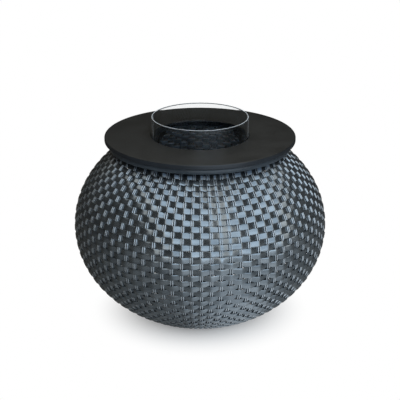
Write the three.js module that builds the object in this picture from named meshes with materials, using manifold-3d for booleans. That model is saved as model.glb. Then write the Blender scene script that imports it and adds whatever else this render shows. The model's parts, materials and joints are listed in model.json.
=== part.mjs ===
// Ice bucket coffee table: a woven globe on a bent tube frame, a lift-off ring tray, and a clear
// bucket that stands on a shelf inside and rises through the tray's hole. Millimetres, +Z up,
// origin on the floor under the centre.
import * as THREE from 'three';
import Module from 'manifold-3d';
import { mergeVertices } from 'three/addons/utils/BufferGeometryUtils.js';

// Woven globe: the outside is a spheroid cut off at the base, with a hollow neck up to an upright cuff
const globeRadius = 300;
const globeHalfHeight = 245.4;
const baseEdgeRadius = 130;
const cuffRadius = 199.5;
const neckRadius = 36;
const cuffLip = 1.86;
const skinThickness = 6;

// Weave: flat weavers pass over one pair of upright stakes and under the next
const rowPitch = 13.36;
const rowPitchGrowth = 0.049;
const topRowDrop = 10.87;
const borderWidth = 2.8;
const weaveDepth = 3.5;
const stakePhaseShare = 0.146;

// Frame of bent tubes
const ribRadius = 6;
const ribBend = 18;
const ribBendRise = 4;
const topHoopTube = 7;
const topHoopStandUp = 3;
const bellyHoopTube = 5;
const baseRingTube = 8;
const baseRingInset = 12;
const skinEdgeDrop = 6;

// Push-in feet
const glideRadius = 9;
const glideLift = 3;
const glideStemRadius = 2.5;
const glideStemHeight = 13;

// Tray
const trayOverhang = 8.2;
const trayHoleRadius = 114.7;
const trayThickness = 11.2;
const trayRounding = 2.5;
const edgeRingTube = 7.5;
const edgeScrewRadius = 2;
const edgeScrewHeadRadius = 3.6;
const edgeScrewHeadHeight = 2.5;
const edgeScrewRise = 0.6;
const edgeScrewBite = 6;
const collarInnerRadius = 116;
const collarWidth = 13;
const collarHeight = 5.5;
const collarScrewRadius = 1.5;
const collarScrewHeadRadius = 3;
const collarScrewHeadHeight = 1.8;
const collarScrewRise = 0.4;
const collarScrewBite = 5;
const padLength = 24;
const padWidth = 10;
const padThickness = 2.5;

// Clear bucket
const bucketRadius = 113.6;
const bucketHeight = 200;
const bucketWall = 3;
const bucketFloor = 6;
const bucketStandUp = 44.5;
const bucketCorner = 4;

// Shelf under the bucket
const matInnerRadius = 60;
const matOuterRadius = 94;
const matThickness = 3;
const dishRadius = 118;
const dishSheet = 2;
const dishLip = 10;
const drainRadius = 45;
const shelfRingRadius = 74;
const shelfRingWidth = 12;
const armWidth = 10;
const armHeight = 12;
const rivetRadius = 2;
const rivetHeadRadius = 3.6;
const rivetHeadHeight = 1.4;
const rivetLength = 8;
const rivetInset = 10;

// Clearances
const seatGap = 0.3;
const ribGap = 0.8;
const locateGap = 1;
const shankGap = 0.3;
const overrun = 2;

// Counts
const roundSegments = 48;
const hiddenSegments = 36;
const stakePairs = 84;
const skinSteps = 14;
const neckSteps = 6;
const pathSteps = 400;
const ribSteps = 16;
const ribBendSteps = 3;
const ribCount = 6;
const armCount = 3;
const footCount = 6;
const edgeScrewCount = 6;
const collarScrewCount = 4;
const padCount = 6;
const tubeSides = 8;
const bellyTubeSides = 6;
const screwSegments = 8;
const glideSegments = 12;
const arcSteps = 2;
const halvings = 40;

// Heights that stack up from the floor
const baseRingCentreRadius = baseEdgeRadius - baseRingInset - baseRingTube;
const baseRingHeight = glideLift + baseRingTube;
const skinBottom = baseRingHeight - skinEdgeDrop;
const globeCentre = skinBottom + globeHalfHeight * Math.sqrt(1 - (baseEdgeRadius / globeRadius) ** 2);
const neckLatitude = latitudeAt(cuffRadius + neckRadius, -neckRadius, 1);
const neckTop = globePoint(neckLatitude, -neckRadius)[1];
const cuffTop = neckTop + cuffLip;
const topHoopRadius = cuffRadius - skinThickness - seatGap - topHoopTube;
const topHoopTop = cuffTop + topHoopStandUp;
const topHoopHeight = topHoopTop - topHoopTube;
const trayBottom = topHoopTop + seatGap + padThickness;
const trayTopHeight = trayBottom + trayThickness;
const edgeRingRadius = cuffRadius + locateGap + edgeRingTube;
const edgeRingHeight = trayBottom - edgeRingTube;
const trayRadius = edgeRingRadius + edgeRingTube + trayOverhang;
const bucketBottom = trayTopHeight + bucketStandUp - bucketHeight;
const matBottom = bucketBottom - seatGap - matThickness;
const dishBottom = matBottom - dishSheet;
const bellyHoopRadius = globeRadius - skinThickness - ribGap - ribRadius * 2 - ribGap - bellyHoopTube;

const finishes = {
  wicker: { color: 0x3b4148, roughness: 0.45, flatShading: true },
  frame: { color: 0x24272b, roughness: 0.5, metalness: 0.4 },
  band: { color: 0x3c424c, roughness: 0.4 },
  tray: { color: 0x333331, roughness: 0.55 },
  rubber: { color: 0x161616, roughness: 0.8 },
  glide: { color: 0x1c1c1e, roughness: 0.6 },
  steel: { color: 0x8d9196, roughness: 0.35, metalness: 0.9 },
  acrylic: { color: 0xe6eef2, roughness: 0.05 },
};

const wasm = await Module();
wasm.setup();

// A closed mesh as a solid that can be joined and cut
function toSolid(geometry) {
  const bare = geometry.clone();
  bare.deleteAttribute('normal');
  bare.deleteAttribute('uv');
  const merged = mergeVertices(bare);
  const corners = merged.index.array;
  const kept = [];
  for (let i = 0; i < corners.length; i += 3) {
    const [a, b, c] = corners.slice(i, i + 3);
    if (a !== b && b !== c && c !== a) kept.push(a, b, c);
  }
  const vertProperties = new Float32Array(merged.attributes.position.array);
  return new wasm.Manifold(new wasm.Mesh({ numProp: 3, vertProperties, triVerts: new Uint32Array(kept) }));
}

function toGeometry(solid) {
  const mesh = solid.getMesh();
  const geometry = new THREE.BufferGeometry();
  geometry.setAttribute('position', new THREE.BufferAttribute(mesh.vertProperties, 3));
  geometry.setIndex(new THREE.BufferAttribute(mesh.triVerts, 1));
  geometry.computeVertexNormals();
  return geometry;
}

function cut(geometry, ...tools) {
  let solid = toSolid(geometry);
  for (const tool of tools) solid = solid.subtract(toSolid(tool));
  return toGeometry(solid);
}

function join(geometry, added) {
  return toGeometry(toSolid(geometry).add(toSolid(added)));
}

// Revolves an outline of [radius, height] points about the vertical axis
function revolve(points, segments = roundSegments) {
  const outline = points.map(([radius, height]) => new THREE.Vector2(radius, height));
  if (THREE.ShapeUtils.area(outline) < 0) outline.reverse();
  outline.push(outline[0].clone());
  return new THREE.LatheGeometry(outline, segments).rotateX(Math.PI / 2);
}

// Points of a round corner about a centre, with its start and length in quarter turns
function corner(centreRadius, centreHeight, radius, start, quarters = 1) {
  return Array.from({ length: arcSteps * quarters + 1 }, (_, i) => {
    const angle = (start + i / arcSteps) * Math.PI / 2;
    return [centreRadius + radius * Math.cos(angle), centreHeight + radius * Math.sin(angle)];
  });
}

// A ring of round tube with flats on its top and bottom, so that flat pieces can rest on it
function tubeRing(centreRadius, height, tubeRadius, segments, sides = tubeSides) {
  const reach = tubeRadius / Math.cos(Math.PI / sides);
  return revolve(Array.from({ length: sides }, (_, i) => {
    const angle = (i + 0.5) / sides * Math.PI * 2;
    return [centreRadius + reach * Math.cos(angle), height + reach * Math.sin(angle)];
  }), segments);
}

function upright(radius, bottom, top, segments = screwSegments) {
  const height = top - bottom;
  return new THREE.CylinderGeometry(radius, radius, height, segments).rotateX(Math.PI / 2)
    .translate(0, 0, bottom + height / 2);
}

// A screw or rivet with its head below and its shank up
function fastener(shankRadius, headRadius, headHeight, length) {
  return revolve([[0, 0], [headRadius, 0], [headRadius, headHeight], [shankRadius, headHeight],
    [shankRadius, length], [0, length]], screwSegments);
}

// Places a geometry at a radius and a turn about the vertical axis
function at(geometry, radius, angle, height = 0) {
  return geometry.translate(radius, 0, height).rotateZ(angle);
}

function evenAngles(count, firstShare = 0) {
  return Array.from({ length: count }, (_, i) => (i + firstShare) / count * Math.PI * 2);
}

// The ribs stand either side of the line of sight through the hole to the back wall
const ribAngles = evenAngles(ribCount);
const armAngles = ribAngles.filter((_, i) => i % (ribCount / armCount) === 0);
const footAngles = evenAngles(footCount);
const edgeScrewAngles = evenAngles(edgeScrewCount);
const collarScrewAngles = evenAngles(collarScrewCount, 0.5);
const padAngles = evenAngles(padCount, 0.5);

// A point of the globe's outside at a latitude, moved inwards along the normal
function globePoint(latitude, inwards) {
  const across = Math.cos(latitude);
  const along = Math.sin(latitude);
  const normal = new THREE.Vector2(across / globeRadius, along / globeHalfHeight).normalize();
  return [globeRadius * across - normal.x * inwards,
    globeCentre + globeHalfHeight * along - normal.y * inwards];
}

// The latitude at which the globe, moved inwards, has a given radius, above or below the belly
function latitudeAt(radius, inwards, side) {
  let low = 0;
  let high = Math.PI / 2;
  for (let i = 0; i < halvings; i++) {
    const middle = (low + high) / 2;
    if (globePoint(middle, inwards)[0] > radius) low = middle;
    else high = middle;
  }
  return side * low;
}

const baseLatitude = latitudeAt(baseEdgeRadius, 0, -1);
const cuffLatitude = latitudeAt(cuffRadius, 0, 1);

function globeArc(fromLatitude, toLatitude, inwards, steps) {
  return Array.from({ length: steps + 1 }, (_, i) =>
    globePoint(fromLatitude + (toLatitude - fromLatitude) * i / steps, inwards));
}

const insideLatitude = latitudeAt(cuffRadius - skinThickness, skinThickness, 1);

// The slope of the globe's normal at a latitude
function normalTurn(latitude) {
  return Math.atan2(globeRadius * Math.sin(latitude), globeHalfHeight * Math.cos(latitude));
}

// Points of the hollow neck, moved inwards, from the globe up to the cuff
function neckArc(inwards, steps) {
  const reach = neckRadius + inwards;
  return Array.from({ length: steps + 1 }, (_, i) => {
    const turn = normalTurn(neckLatitude) * (1 - i / steps);
    return [cuffRadius + neckRadius - reach * Math.cos(turn), neckTop - reach * Math.sin(turn)];
  });
}

// The outline of the globe, the neck and the cuff, moved inwards, from the base edge up
function skinOutline(inwards, steps, bendSteps) {
  return [
    ...globeArc(baseLatitude, neckLatitude, inwards, steps),
    ...neckArc(inwards, bendSteps).slice(1),
    [cuffRadius - inwards, cuffTop],
  ];
}

// The middles of the weavers' rows along the outside, counted from the top row, with the way out of
// the surface there, from the base edge up
function weaverRows() {
  const outline = skinOutline(0, pathSteps, pathSteps);
  const lengths = [0];
  for (let i = 1; i < outline.length; i++) {
    const [start, end] = [outline[i - 1], outline[i]];
    lengths.push(lengths[i - 1] + Math.hypot(end[0] - start[0], end[1] - start[1]));
  }
  const middles = [];
  let edge = lengths[lengths.length - 1] - topRowDrop;
  for (let pitch = rowPitch; edge - pitch > borderWidth; pitch += rowPitchGrowth) {
    middles.push(edge - pitch / 2);
    edge -= pitch;
  }
  return middles.map((middle, row) => {
    const next = lengths.findIndex((length) => length > middle);
    const [start, end] = [outline[next - 1], outline[next]];
    const run = lengths[next] - lengths[next - 1];
    const share = (middle - lengths[next - 1]) / run;
    return {
      row,
      place: [start[0] + (end[0] - start[0]) * share, start[1] + (end[1] - start[1]) * share],
      out: [(end[1] - start[1]) / run, (start[0] - end[0]) / run],
    };
  }).reverse();
}

// A closed skin of quads over rings of points that have as many points each. A quad folds along the
// diagonal that misses its first corner, or through that corner, as the given test says
function loft(rings, missesFirstCorner) {
  const count = rings[0].length;
  const corners = rings.flatMap((_, i) => Array.from({ length: count }, (_, j) => {
    const [here, above] = [i * count, ((i + 1) % rings.length) * count];
    const next = (j + 1) % count;
    const [a, b, c, d] = [here + j, here + next, above + next, above + j];
    return missesFirstCorner(i, j) ? [a, b, d, b, c, d] : [a, b, c, a, c, d];
  })).flat();
  const geometry = new THREE.BufferGeometry();
  geometry.setAttribute('position', new THREE.Float32BufferAttribute(rings.flat(2), 3));
  geometry.setIndex(corners);
  geometry.computeVertexNormals();
  return geometry;
}

// The skin's outside has one point at each crossing of a row and a stake pair: high where the weaver
// passes over the pair, and deeper where it passes under. Quads fold between their deeper corners
function wovenSkin() {
  const angles = evenAngles(stakePairs, stakePhaseShare - stakePairs / 4);
  const ring = ([radius, height]) => angles.map((angle) =>
    [radius * Math.cos(angle), radius * Math.sin(angle), height]);
  const rows = weaverRows();
  const woven = rows.map(({ row, place, out }) => angles.map((angle, pair) => {
    const depth = (pair + row) % 2 === 0 ? 0 : weaveDepth;
    const radius = place[0] - out[0] * depth;
    return [radius * Math.cos(angle), radius * Math.sin(angle), place[1] - out[1] * depth];
  }));
  const rowsTop = rows[rows.length - 1].place[1] + rowPitch / 2;
  return loft([
    ring([baseEdgeRadius, skinBottom]),
    ...woven,
    ...neckArc(0, neckSteps).filter(([, height]) => height > rowsTop).map(ring),
    ring([cuffRadius, cuffTop]),
    ...skinOutline(skinThickness, skinSteps, neckSteps).reverse().map(ring),
  ], (ringNumber, pair) => (pair + rows.length - ringNumber) % 2 === 0);
}

// The middle line of a rib, from on top of the base ring to inside the top hoop's tube
const ribInwards = skinThickness + ribGap + ribRadius;

function ribCurve() {
  const bendTurn = Math.atan2(globeRadius * Math.sin(cuffLatitude),
    globeHalfHeight * Math.cos(cuffLatitude));
  const bendHeight = globePoint(insideLatitude, skinThickness)[1] + ribBendRise;
  const bend = Array.from({ length: ribBendSteps + 1 }, (_, i) => {
    const angle = bendTurn * (1 - i / ribBendSteps);
    return [topHoopRadius + ribBend * (1 - Math.cos(angle)), bendHeight - ribBend * Math.sin(angle)];
  });
  const lowest = latitudeAt(baseRingCentreRadius, ribInwards, -1);
  const highest = latitudeAt(bend[0][0] + ribRadius * 2, ribInwards, 1);
  const points = [
    ...globeArc(lowest, highest, ribInwards, ribSteps),
    ...bend,
    [topHoopRadius, topHoopHeight],
  ];
  return new THREE.CatmullRomCurve3(points.map(([radius, height]) =>
    new THREE.Vector3(radius, 0, height)), false, 'centripetal');
}

function ribTube(radius) {
  const section = new THREE.Shape(Array.from({ length: tubeSides }, (_, i) => {
    const angle = i / tubeSides * Math.PI * 2;
    return new THREE.Vector2(radius * Math.cos(angle), radius * Math.sin(angle));
  }));
  const curve = ribCurve();
  // One ring of corners at each point of the curve, so that the short bend keeps its shape
  curve.getUtoTmapping = (share) => share;
  return new THREE.ExtrudeGeometry(section, {
    steps: curve.points.length - 1, curveSegments: 1, extrudePath: curve, bevelEnabled: false,
  });
}

// The base ring's tube with the seat's gap round it, which cuts what sits on the ring
function baseRingSeat() {
  return tubeRing(baseRingCentreRadius, baseRingHeight, baseRingTube + seatGap, hiddenSegments);
}

function ribs() {
  const topCut = tubeRing(topHoopRadius, topHoopHeight, topHoopTube + seatGap);
  return ribAngles.map((angle) => cut(ribTube(ribRadius).rotateZ(angle), topCut, baseRingSeat()));
}

function bellyHoop() {
  return tubeRing(bellyHoopRadius, globeCentre, bellyHoopTube, hiddenSegments, bellyTubeSides);
}

function baseRing() {
  const holes = footAngles.map((angle) => at(
    upright(glideStemRadius + shankGap, 0, glideStemHeight + seatGap), baseRingCentreRadius, angle));
  return cut(tubeRing(baseRingCentreRadius, baseRingHeight, baseRingTube, hiddenSegments), ...holes);
}

// A foot whose top is saddled to the base ring, with a stem that is pushed into the ring
function footGlide(angle) {
  const body = at(upright(glideRadius, 0, skinBottom - seatGap, glideSegments), baseRingCentreRadius, angle);
  const stem = at(upright(glideStemRadius, glideLift / 2, glideStemHeight), baseRingCentreRadius, angle);
  return join(cut(body, baseRingSeat()), stem);
}

const shelfRingOuter = shelfRingRadius + shelfRingWidth;
const rivetPlace = dishRadius - dishSheet - rivetInset;
const rivetTop = dishBottom + dishSheet + seatGap + rivetHeadHeight;

function shelfRing() {
  const bottom = dishBottom - armHeight;
  return revolve([[shelfRingRadius, bottom], [shelfRingOuter, bottom],
    [shelfRingOuter, dishBottom], [shelfRingRadius, dishBottom]], hiddenSegments);
}

// The radius of a rib's middle line at a height
function ribReach(height) {
  return globePoint(Math.asin((height - globeCentre) / (globeHalfHeight - ribInwards)), ribInwards)[0];
}

// A bar from the shelf ring to the middle line of a sloping rib, saddled to the rib's tube
function shelfArm(angle) {
  const bottom = dishBottom - armHeight;
  const start = shelfRingOuter + seatGap;
  const length = Math.min(ribReach(bottom), ribReach(dishBottom)) - start;
  const bar = new THREE.BoxGeometry(length, armWidth, armHeight)
    .translate(start + length / 2, 0, bottom + armHeight / 2).rotateZ(angle);
  const rib = ribTube(ribRadius + seatGap).rotateZ(angle);
  const hole = at(upright(rivetRadius + shankGap, rivetTop - rivetLength - seatGap,
    dishBottom + overrun), rivetPlace, angle);
  return cut(bar, rib, hole);
}

function bucketShelf() {
  const inside = dishRadius - dishSheet;
  const floor = dishBottom + dishSheet;
  const holes = armAngles.map((angle) => at(
    upright(rivetRadius + shankGap, dishBottom - overrun, floor + overrun), rivetPlace, angle));
  return cut(revolve([[drainRadius, dishBottom], [dishRadius, dishBottom],
    [dishRadius, dishBottom + dishLip], [inside, dishBottom + dishLip], [inside, floor],
    [drainRadius, floor]], hiddenSegments), ...holes);
}

function shelfRivet(angle) {
  const rivet = fastener(rivetRadius, rivetHeadRadius, rivetHeadHeight, rivetLength).rotateX(Math.PI);
  return at(rivet, rivetPlace, angle, rivetTop);
}

function bucketMat() {
  return revolve([[matInnerRadius, matBottom], [matOuterRadius, matBottom],
    [matOuterRadius, matBottom + matThickness], [matInnerRadius, matBottom + matThickness]],
  hiddenSegments);
}

const edgeScrewBottom = edgeRingHeight - edgeRingTube + edgeScrewRise;
const edgeScrewTop = trayBottom + edgeScrewBite;
const collarBottom = trayBottom - collarHeight;
const collarScrewBottom = collarBottom + collarScrewRise;
const collarScrewTop = trayBottom + collarScrewBite;
const collarScrewPlace = collarInnerRadius + collarWidth / 2;

function trayTop() {
  const inner = trayHoleRadius + trayRounding;
  const outer = trayRadius - trayRounding;
  const low = trayBottom + trayRounding;
  const high = trayTopHeight - trayRounding;
  const plate = revolve([
    ...corner(outer, low, trayRounding, 3),
    ...corner(outer, high, trayRounding, 0),
    ...corner(inner, high, trayRounding, 1),
    [trayHoleRadius, trayBottom],
  ]);
  const edgeHoles = edgeScrewAngles.map((angle) => at(upright(edgeScrewRadius + shankGap,
    trayBottom - overrun, edgeScrewTop + seatGap), edgeRingRadius, angle));
  const collarHoles = collarScrewAngles.map((angle) => at(upright(collarScrewRadius + shankGap,
    trayBottom - overrun, collarScrewTop + seatGap), collarScrewPlace, angle));
  return cut(plate, ...edgeHoles, ...collarHoles);
}

function edgeRing() {
  const bottom = edgeRingHeight - edgeRingTube;
  const holes = edgeScrewAngles.flatMap((angle) => [
    at(upright(edgeScrewRadius + shankGap, bottom - overrun, trayBottom + overrun),
      edgeRingRadius, angle),
    at(upright(edgeScrewHeadRadius + shankGap, bottom - overrun,
      edgeScrewBottom + edgeScrewHeadHeight + seatGap), edgeRingRadius, angle),
  ]);
  return cut(tubeRing(edgeRingRadius, edgeRingHeight, edgeRingTube), ...holes);
}

function edgeScrew(angle) {
  return at(fastener(edgeScrewRadius, edgeScrewHeadRadius, edgeScrewHeadHeight,
    edgeScrewTop - edgeScrewBottom), edgeRingRadius, angle, edgeScrewBottom);
}

function holeCollar() {
  const outer = collarInnerRadius + collarWidth;
  const ring = revolve([[collarInnerRadius, collarBottom], [outer, collarBottom],
    [outer, trayBottom], [collarInnerRadius, trayBottom]]);
  const holes = collarScrewAngles.flatMap((angle) => [
    at(upright(collarScrewRadius + shankGap, collarBottom - overrun, trayBottom + overrun),
      collarScrewPlace, angle),
    at(upright(collarScrewHeadRadius + shankGap, collarBottom - overrun,
      collarScrewBottom + collarScrewHeadHeight + seatGap), collarScrewPlace, angle),
  ]);
  return cut(ring, ...holes);
}

function collarScrew(angle) {
  return at(fastener(collarScrewRadius, collarScrewHeadRadius, collarScrewHeadHeight,
    collarScrewTop - collarScrewBottom), collarScrewPlace, angle, collarScrewBottom);
}

function trayPad(angle) {
  return at(new THREE.BoxGeometry(padWidth, padLength, padThickness), topHoopRadius, angle,
    trayBottom - padThickness / 2);
}

function bucket() {
  const inside = bucketRadius - bucketWall;
  const rim = bucketWall / 2;
  const top = bucketBottom + bucketHeight - rim;
  const floor = bucketBottom + bucketFloor;
  const insideCorner = corner(inside - bucketCorner, floor + bucketCorner, bucketCorner, 3).reverse();
  const outline = [
    [0, bucketBottom],
    ...corner(bucketRadius - bucketCorner, bucketBottom + bucketCorner, bucketCorner, 3),
    ...corner(bucketRadius - rim, top, rim, 0, 2),
    ...insideCorner,
    [0, floor],
  ].map(([radius, height]) => new THREE.Vector2(radius, height));
  return new THREE.LatheGeometry(outline, roundSegments).rotateX(Math.PI / 2);
}

const table = new THREE.Group();

function add(name, geometry, finish) {
  const mesh = new THREE.Mesh(geometry, new THREE.MeshStandardMaterial(finish));
  mesh.name = name;
  table.add(mesh);
}

add('woven_skin', wovenSkin(), finishes.wicker);
add('top_hoop', tubeRing(topHoopRadius, topHoopHeight, topHoopTube), finishes.frame);
ribs().forEach((rib, i) => add(`rib_${i + 1}`, rib, finishes.frame));
add('belly_hoop', bellyHoop(), finishes.frame);
add('base_ring', baseRing(), finishes.frame);
footAngles.forEach((angle, i) => add(`foot_glide_${i + 1}`, footGlide(angle), finishes.glide));
add('shelf_ring', shelfRing(), finishes.frame);
armAngles.forEach((angle, i) => {
  add(`shelf_arm_${i + 1}`, shelfArm(angle), finishes.frame);
  add(`shelf_rivet_${i + 1}`, shelfRivet(angle), finishes.steel);
});
add('bucket_shelf', bucketShelf(), finishes.frame);
add('bucket_mat', bucketMat(), finishes.rubber);
add('tray_top', trayTop(), finishes.tray);
add('edge_ring', edgeRing(), finishes.band);
edgeScrewAngles.forEach((angle, i) => add(`edge_screw_${i + 1}`, edgeScrew(angle), finishes.steel));
add('hole_collar', holeCollar(), finishes.band);
collarScrewAngles.forEach((angle, i) =>
  add(`collar_screw_${i + 1}`, collarScrew(angle), finishes.steel));
padAngles.forEach((angle, i) => add(`tray_pad_${i + 1}`, trayPad(angle), finishes.rubber));
add('bucket', bucket(), finishes.acrylic);

export default table;
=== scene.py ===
# Looks for the ice bucket coffee table, in metres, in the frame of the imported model.
# The globe's weave, the tray, the bucket and the tubes inside are modelled here at the places
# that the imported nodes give. Azimuth 0 is the front, -Y, and grows towards +X.
import json
import math

import bmesh
import bpy
import numpy as np
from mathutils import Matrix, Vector

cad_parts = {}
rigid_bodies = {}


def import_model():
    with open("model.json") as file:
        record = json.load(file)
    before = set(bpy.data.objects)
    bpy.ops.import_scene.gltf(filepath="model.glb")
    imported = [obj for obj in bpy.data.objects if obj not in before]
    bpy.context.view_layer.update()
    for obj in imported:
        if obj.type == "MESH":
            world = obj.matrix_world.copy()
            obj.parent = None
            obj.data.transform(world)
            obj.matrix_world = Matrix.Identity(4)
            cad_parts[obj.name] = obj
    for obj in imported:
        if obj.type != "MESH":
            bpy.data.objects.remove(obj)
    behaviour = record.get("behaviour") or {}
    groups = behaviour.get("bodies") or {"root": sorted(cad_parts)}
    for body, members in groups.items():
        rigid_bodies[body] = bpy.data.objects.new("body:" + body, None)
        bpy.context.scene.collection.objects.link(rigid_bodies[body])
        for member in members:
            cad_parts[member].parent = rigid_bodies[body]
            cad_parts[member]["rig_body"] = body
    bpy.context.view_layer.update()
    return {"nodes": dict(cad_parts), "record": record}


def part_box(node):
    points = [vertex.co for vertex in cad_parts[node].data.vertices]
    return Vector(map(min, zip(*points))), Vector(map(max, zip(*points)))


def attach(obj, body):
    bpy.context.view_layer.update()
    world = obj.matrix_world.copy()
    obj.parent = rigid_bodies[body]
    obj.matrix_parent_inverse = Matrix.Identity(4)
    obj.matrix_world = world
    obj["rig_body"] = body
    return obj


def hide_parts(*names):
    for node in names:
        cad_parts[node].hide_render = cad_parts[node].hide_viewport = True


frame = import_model()

TURN = 2 * math.pi
SEED = 7


def node_points(name):
    """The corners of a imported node, as rows of x, y, z."""
    return np.array([v.co for v in frame["nodes"][name].data.vertices], float)


def widest(points):
    return float(np.hypot(points[:, 0], points[:, 1]).max())


def narrowest(points):
    return float(np.hypot(points[:, 0], points[:, 1]).min())


def levels(node):
    """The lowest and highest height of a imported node, and its least and greatest radius."""
    points = node_points(node)
    return points[:, 2].min(), points[:, 2].max(), narrowest(points), widest(points)


# Sizes of the woven globe, read from its packed shell
LEVEL_TOLERANCE = 1e-4
skin_points = node_points("woven_skin")
SKIN_BOTTOM, CUFF_TOP = skin_points[:, 2].min(), skin_points[:, 2].max()
GLOBE_RADIUS = widest(skin_points)
BASE_RADIUS = widest(skin_points[skin_points[:, 2] < SKIN_BOTTOM + LEVEL_TOLERANCE])
CUFF_RADIUS = widest(skin_points[skin_points[:, 2] > CUFF_TOP - LEVEL_TOLERANCE])
belly_low, belly_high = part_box("belly_hoop")
GLOBE_CENTRE = (belly_low.z + belly_high.z) / 2
GLOBE_HALF_HEIGHT = (GLOBE_CENTRE - SKIN_BOTTOM) / math.sqrt(1 - (BASE_RADIUS / GLOBE_RADIUS) ** 2)

# Weave: pairs of round stakes, and flat weavers that pass over one pair and under the next.
# The stakes' and rows' places and sizes were fitted to the photograph.
STAKE_PAIRS = 84
STAKE_RADIUS = 0.00135
STAKE_SPACING = 0.0046
STAKE_SPACING_SHARE = 0.33
STAKE_DEPTH = 0.0030
STAKE_SWAY = 0.00032
STRAND_SIDES = 8
STAKE_PHASE_SHARE = 0.146
STAKE_JITTER_SHARE = 0.035
STAKE_TURN_JITTER = 0.0004
WEAVER_WIDTH = 0.0150
ROW_GAP = 0.00025
WEAVER_THICKNESS = 0.0012
WEAVER_OVER_DEPTH = 0.00065
WEAVER_UNDER_DEPTH = 0.00535
RIDGE_HALF = 0.0038
TUCK_MARGIN = 0.0024
ROW_EDGE = 0.2232
ROW_PITCH = 0.01336
ROW_PITCH_GROWTH = 0.000049
ROW_WAVE = 0.00022
WEAVER_TILT = 0.022
LIFT_JITTER = 0.00012
LANE_WIDTHS = 3
BORDER_RADIUS = 0.0014


def quad_grid(rows, columns, close_rows, close_columns=True):
    """Quads over a grid of points whose rows and columns may wrap round."""
    last_row = rows if close_rows else rows - 1
    last_column = columns if close_columns else columns - 1
    row, column = np.meshgrid(np.arange(last_row), np.arange(last_column), indexing="ij")
    next_row, next_column = (row + 1) % rows, (column + 1) % columns
    corners = [row * columns + column, next_row * columns + column,
               next_row * columns + next_column, row * columns + next_column]
    return np.stack([c.ravel() for c in corners], axis=1)


def placed(name, data):
    """A new object of a mesh, a lamp or a camera, in the scene."""
    made = bpy.data.objects.new(name, data)
    bpy.context.scene.collection.objects.link(made)
    return made


def build_mesh(name, points, quads, caps=(), uvs=None):
    """A smooth-shaded mesh object of quads, with any end caps, and strand coordinates if given."""
    faces = [*quads, *caps]
    lengths = np.array([len(f) for f in faces], np.int32)
    loops = np.concatenate([np.asarray(f, np.int32) for f in faces])
    mesh = bpy.data.meshes.new(name)
    mesh.vertices.add(len(points))
    mesh.vertices.foreach_set("co", np.asarray(points, np.float32).ravel())
    mesh.loops.add(len(loops))
    mesh.loops.foreach_set("vertex_index", loops)
    mesh.polygons.add(len(faces))
    starts = np.concatenate([[0], np.cumsum(lengths)[:-1]]).astype(np.int32)
    mesh.polygons.foreach_set("loop_start", starts)
    mesh.polygons.foreach_set("use_smooth", np.ones(len(faces), bool))
    if uvs is not None:
        layer = mesh.uv_layers.new(name="strand")
        padded = np.zeros((len(loops), 2), np.float32)
        padded[: len(uvs)] = uvs
        layer.uv.foreach_set("vector", padded.ravel())
    mesh.update(calc_edges=True)
    mesh.validate()
    return placed(name, mesh)


class Sweeps:
    """Collects sections swept along paths into one mesh."""

    def __init__(self):
        self.points = []
        self.quads = []
        self.caps = []
        self.uvs = []
        self.seconds = []
        self.count = 0

    def add(self, centres, across, out, half_widths, half_depths, section, closed, lane=0.0, second=None):
        """Sweeps a section of (across, out) shares along centres. lane keeps each sweep's texture
        apart, and second marks the faces, by row and column, that take the second material."""
        rows, columns = len(centres), len(section)
        half_widths = np.broadcast_to(half_widths, rows)
        half_depths = np.broadcast_to(half_depths, rows)
        ring = (centres[:, None, :]
                + across[:, None, :] * (half_widths[:, None] * section[:, 0])[:, :, None]
                + out[:, None, :] * (half_depths[:, None] * section[:, 1])[:, :, None])
        self.points.append(ring.reshape(-1, 3))
        # The corners' order turns every face outwards, whichever way the path runs
        order = -1 if np.cross(across[0], out[0]) @ (centres[1] - centres[0]) > 0 else 1
        quads = quad_grid(rows, columns, closed)[:, ::order]
        self.quads.append(quads + self.count)
        if not closed:
            self.caps.append(np.arange(columns)[::order] + self.count)
            self.caps.append(np.arange(columns)[::-order] + self.count + (rows - 1) * columns)
        steps = np.linalg.norm(np.roll(centres, -1, axis=0) - centres, axis=1)
        along = np.concatenate([[0], np.cumsum(steps)])
        around = np.linalg.norm(np.roll(section, -1, axis=0) - section, axis=1) * float(half_widths.mean())
        around = np.concatenate([[0], np.cumsum(around)]) + lane
        last = rows if closed else rows - 1
        row, column = np.meshgrid(np.arange(last), np.arange(columns), indexing="ij")
        corners = [(row, column), (row + 1, column), (row + 1, column + 1), (row, column + 1)]
        uv = np.stack([np.stack([along[r], around[c]], axis=-1) for r, c in corners],
                      axis=2)[:, :, ::order]
        self.uvs.append(uv.reshape(-1, 2))
        if second is not None:
            self.seconds.append(second[:last].ravel())
        self.count += rows * columns

    def build(self, name):
        made = build_mesh(name, np.concatenate(self.points), np.concatenate(self.quads), self.caps,
                          np.concatenate(self.uvs))
        if self.seconds:
            indices = np.concatenate(self.seconds).astype(np.int32)
            made.data.polygons.foreach_set("material_index", indices)
        return made


# Points this close to the ends of long edges keep smooth shading flat between them
SUPPORT = 0.0004
LONG_EDGE = SUPPORT * 6
MERGE_DISTANCE = SUPPORT / 100


def supported(outline, closed):
    """An outline with points close to both ends of its long edges."""
    outline = np.asarray(outline, float)
    ends = np.roll(outline, -1, axis=0)
    points = []
    for index, (start, end) in enumerate(zip(outline, ends)):
        points.append(start)
        length = np.linalg.norm(end - start)
        if length > LONG_EDGE and (closed or index < len(outline) - 1):
            step = (end - start) / length * SUPPORT
            points += [start + step, end - step]
    return np.array(points)


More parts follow.
